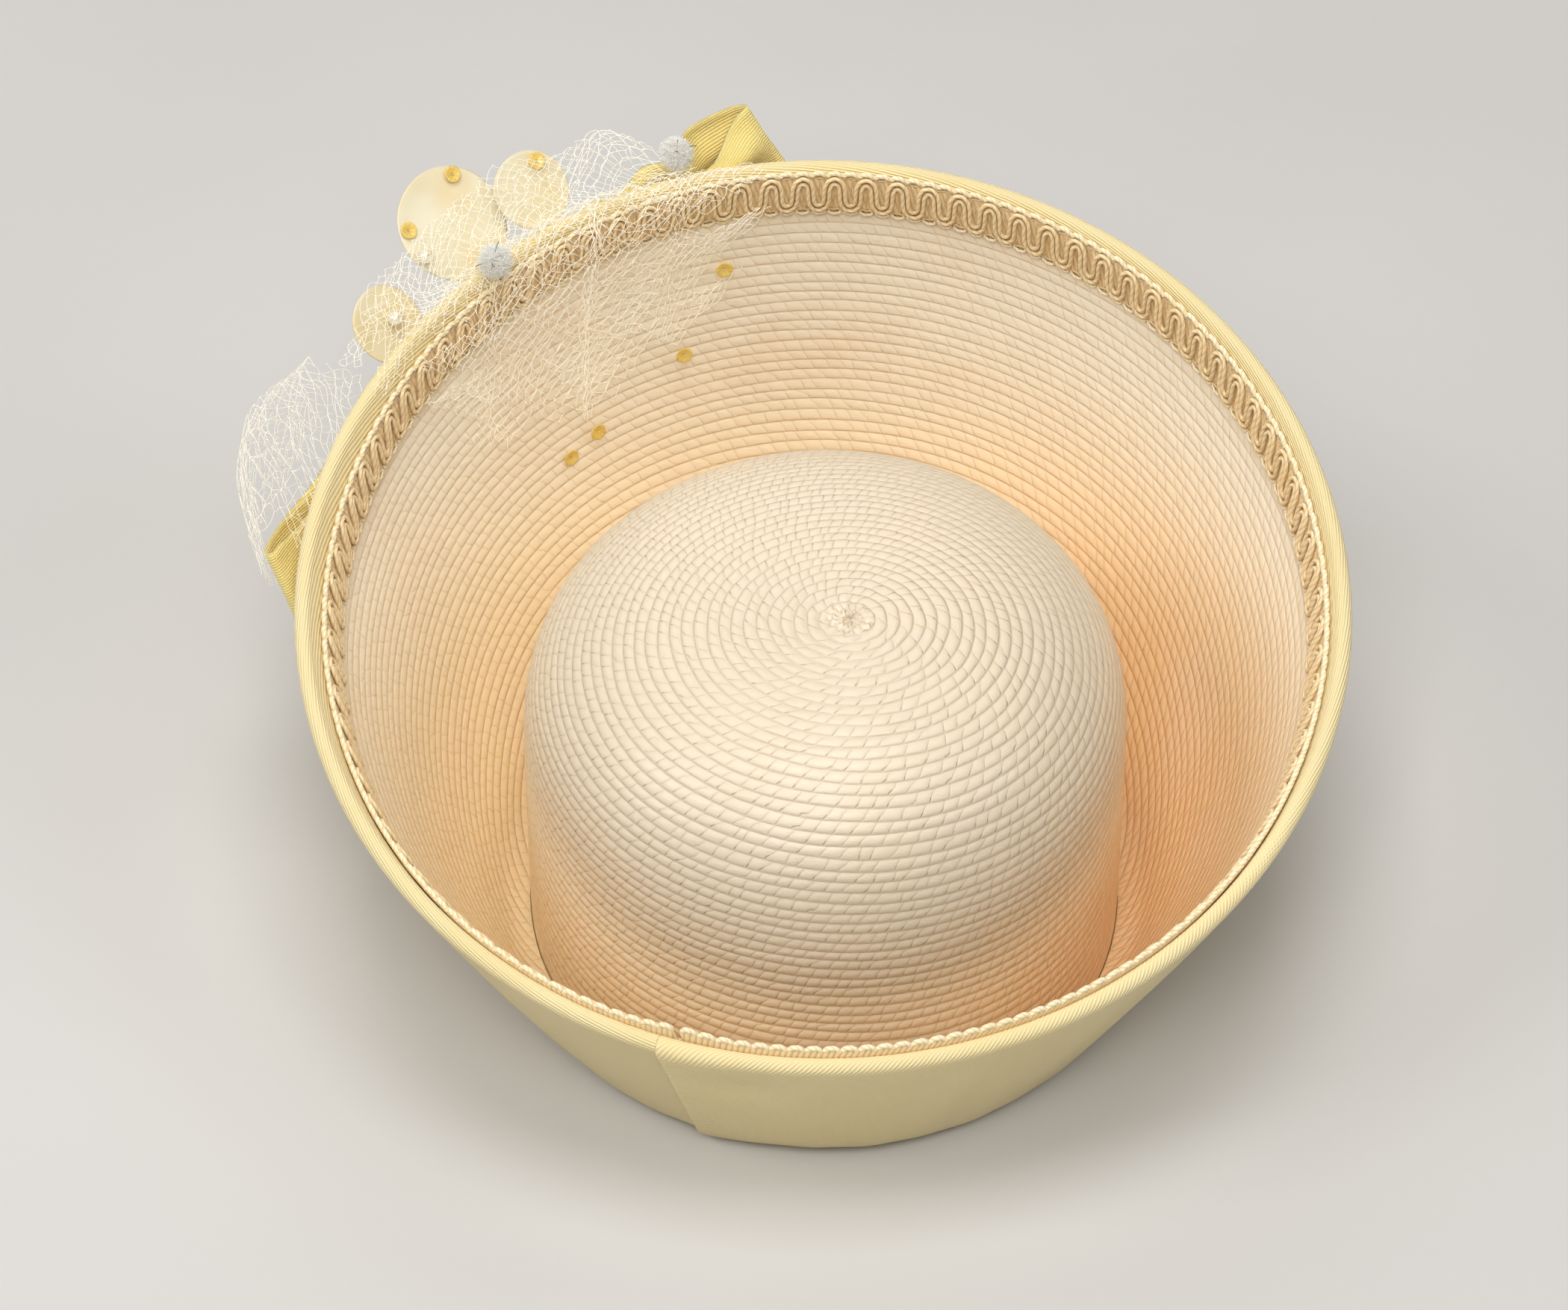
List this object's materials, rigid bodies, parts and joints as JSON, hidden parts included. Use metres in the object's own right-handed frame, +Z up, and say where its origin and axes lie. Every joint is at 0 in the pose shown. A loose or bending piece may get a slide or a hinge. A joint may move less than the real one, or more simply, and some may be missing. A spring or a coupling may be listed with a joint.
{
  "type": "straw hat",
  "caption": "Rounded straw crown in a deep upturned straw brim faced with twill, with gimp inside the rim and a bow, petals and veil.",
  "frame": {"origin": "middle of the underside of the hat's box, on the plane that the hat rests on", "axes": "+Z up out of the crown, +Y to the front of the hat, +X to the wearer's right"},
  "size_m": [0.3106, 0.2874, 0.1592],
  "materials": {
    "straw": "glossy woven straw braid",
    "twill": "matt twill weave",
    "gimp": "silky gimp cord",
    "ribbon": "matt ribbed ribbon",
    "petal": "translucent satin",
    "pearl": "pearl lustre",
    "cotton": "matt cotton fluff",
    "paillette": "glossy",
    "net": "fine open net"
  },
  "bodies": {
    "root": {"crown": "straw", "brim": "straw", "brim_cover": "twill", "gimp_braid": "gimp", "bow_loop_left": "ribbon", "bow_loop_right": "ribbon", "bow_knot": "ribbon", "petal_1": "petal", "petal_2": "petal", "petal_3": "petal", "pearl_1": "pearl", "pearl_2": "pearl", "pompom_1": "cotton", "pompom_2": "cotton", "paillette_1": "paillette", "paillette_2": "paillette", "paillette_3": "paillette", "paillette_4": "paillette", "paillette_5": "paillette", "paillette_6": "paillette", "paillette_7": "paillette", "veil_inner": "net", "veil_puff": "net"}
  },
  "joints": []
}
